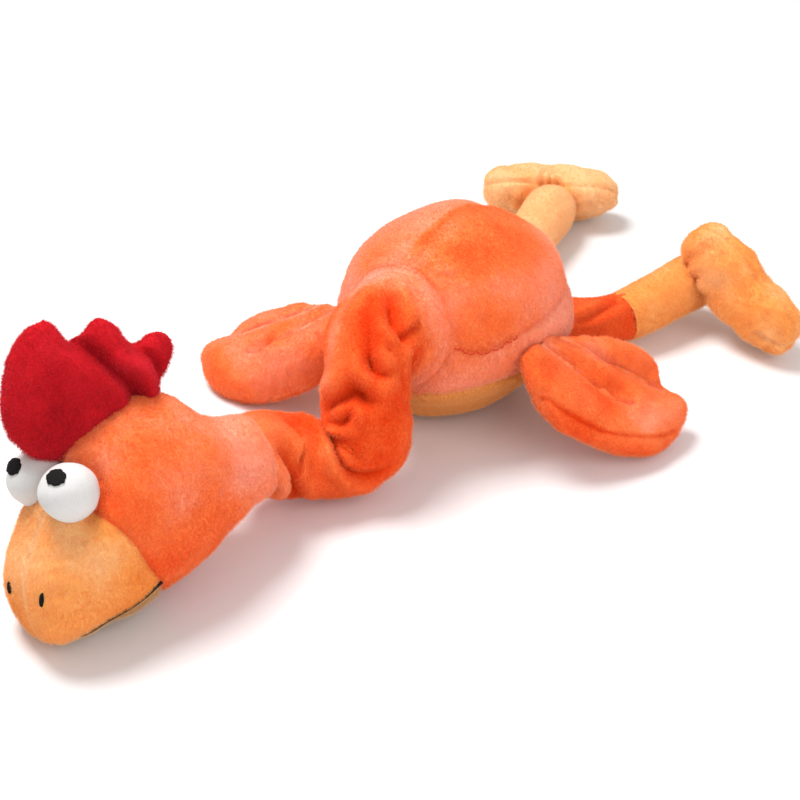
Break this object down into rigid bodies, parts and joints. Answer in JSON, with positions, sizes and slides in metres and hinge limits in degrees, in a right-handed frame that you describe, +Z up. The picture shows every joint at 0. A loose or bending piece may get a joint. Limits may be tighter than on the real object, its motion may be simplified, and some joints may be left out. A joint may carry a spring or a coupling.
{
  "type": "plush chicken",
  "caption": "Floppy plush chicken prop lying on its belly: stuffed ball body, slack neck, head with comb and beak, quilted wings and limp legs.",
  "frame": {"origin": "middle of the flat patch that the belly rests on", "axes": "+Z up, the chicken faces -Y, its left side is +X"},
  "size_m": [0.266, 0.5079, 0.1366],
  "materials": {
    "orange_plush": "short-pile velboa plush",
    "neck_plush": "short-pile velboa plush, slack",
    "gold_plush": "short-pile velboa plush",
    "belly_plush": "short-pile velboa plush",
    "red_plush": "short-pile velboa plush",
    "eye_knit": "smooth brushed knit",
    "black_thread": "satin-stitch embroidery thread",
    "tan_plush": "short-pile velboa plush",
    "wadding": "polyester fibre fill",
    "plastic": "translucent moulded polyethylene"
  },
  "bodies": {
    "body": {"back_panel_left": "orange_plush", "back_panel_right": "orange_plush", "flank_panel_left": "orange_plush", "flank_panel_right": "orange_plush", "neck_yoke": "orange_plush", "belly_panel": "belly_plush", "body_wadding_upper": "wadding", "body_wadding_lower": "wadding", "squeaker_bulb": "plastic", "squeaker_reed": "plastic"},
    "neck_upper": {"neck_upper_skin": "neck_plush", "neck_upper_wadding": "wadding"},
    "neck_middle": {"neck_middle_skin": "neck_plush", "neck_middle_wadding": "wadding"},
    "neck_lower": {"neck_lower_skin": "neck_plush", "neck_lower_wadding": "wadding"},
    "head": {"head_panel_left": "orange_plush", "upper_beak_left": "gold_plush", "eye_left": "eye_knit", "pupil_left": "black_thread", "nostril_left": "black_thread", "head_panel_right": "orange_plush", "upper_beak_right": "gold_plush", "eye_right": "eye_knit", "pupil_right": "black_thread", "nostril_right": "black_thread", "head_wadding": "wadding", "lower_beak": "tan_plush", "mouth_thread": "black_thread"},
    "comb": {"comb_panel_left": "red_plush", "comb_panel_right": "red_plush", "comb_wadding": "wadding"},
    "wing_left": {"wing_left_panel_front": "orange_plush", "wing_left_panel_back": "orange_plush", "wing_left_wadding": "wadding"},
    "thigh_left": {"thigh_left_skin": "neck_plush", "thigh_left_wadding": "wadding"},
    "shank_left": {"shank_left_skin": "gold_plush", "shank_left_wadding": "wadding"},
    "foot_left": {"foot_left_sole": "gold_plush", "foot_left_upper": "gold_plush", "foot_left_wadding": "wadding"},
    "wing_right": {"wing_right_panel_front": "orange_plush", "wing_right_panel_back": "orange_plush", "wing_right_wadding": "wadding"},
    "thigh_right": {"thigh_right_skin": "neck_plush", "thigh_right_wadding": "wadding"},
    "shank_right": {"shank_right_skin": "gold_plush", "shank_right_wadding": "wadding"},
    "foot_right": {"foot_right_sole": "gold_plush", "foot_right_upper": "gold_plush", "foot_right_wadding": "wadding"}
  },
  "joints": [
    {"name": "neck_root_lift", "type": "hinge", "parent": "body", "child": "neck_upper", "pos_m": [0.003, -0.07, 0.077], "axis": [-1, 0, 0], "range_deg": [-3, 55]},
    {"name": "neck_bend", "type": "hinge", "parent": "neck_upper", "child": "neck_middle", "pos_m": [0.014, -0.093, 0.036], "axis": [-1, 0, 0], "range_deg": [-20, 12]},
    {"name": "neck_sway", "type": "hinge", "parent": "neck_middle", "child": "neck_lower", "pos_m": [0.001, -0.118, 0.019], "axis": [0, 0, 1], "range_deg": [-25, 25]},
    {"name": "head_nod", "type": "hinge", "parent": "neck_lower", "child": "head", "pos_m": [-0.011, -0.151, 0.038], "axis": [-0.9145, 0.2467, -0.3206], "range_deg": [-15, 40]},
    {"name": "comb_flop", "type": "hinge", "parent": "head", "child": "comb", "pos_m": [-0.0399, -0.21185, 0.09507], "axis": [0.2605, 0.9655, 0], "range_deg": [-8, 8]},
    {"name": "wing_left_flap", "type": "hinge", "parent": "body", "child": "wing_left", "pos_m": [0.063, -0.022, 0.058], "axis": [0.3764, -0.7789, -0.5016], "range_deg": [-5, 60]},
    {"name": "wing_right_flap", "type": "hinge", "parent": "body", "child": "wing_right", "pos_m": [-0.05, -0.042, 0.046], "axis": [0.5493, -0.6995, -0.4571], "range_deg": [-12, 45]},
    {"name": "hip_left_splay", "type": "hinge", "parent": "body", "child": "thigh_left", "pos_m": [0.0246, 0.0532, 0.0326], "axis": [0, 0, -1], "range_deg": [-15, 25]},
    {"name": "knee_left_bend", "type": "hinge", "parent": "thigh_left", "child": "shank_left", "pos_m": [0.045, 0.098, 0.02], "axis": [0.9651, -0.2617, 0], "range_deg": [-5, 36]},
    {"name": "ankle_left_flex", "type": "hinge", "parent": "shank_left", "child": "foot_left", "pos_m": [0.061, 0.157, 0.025], "axis": [-0.4167, 0.1884, -0.8893], "range_deg": [-15, 15]},
    {"name": "hip_right_splay", "type": "hinge", "parent": "body", "child": "thigh_right", "pos_m": [-0.0246, 0.0532, 0.0326], "axis": [0, 0, 1], "range_deg": [-15, 25]},
    {"name": "knee_right_bend", "type": "hinge", "parent": "thigh_right", "child": "shank_right", "pos_m": [-0.041, 0.101, 0.02], "axis": [0.9648, 0.2631, 0], "range_deg": [-5, 36]},
    {"name": "ankle_right_flex", "type": "hinge", "parent": "shank_right", "child": "foot_right", "pos_m": [-0.062, 0.178, 0.02], "axis": [0, 0, -1], "range_deg": [-15, 15]}
  ]
}
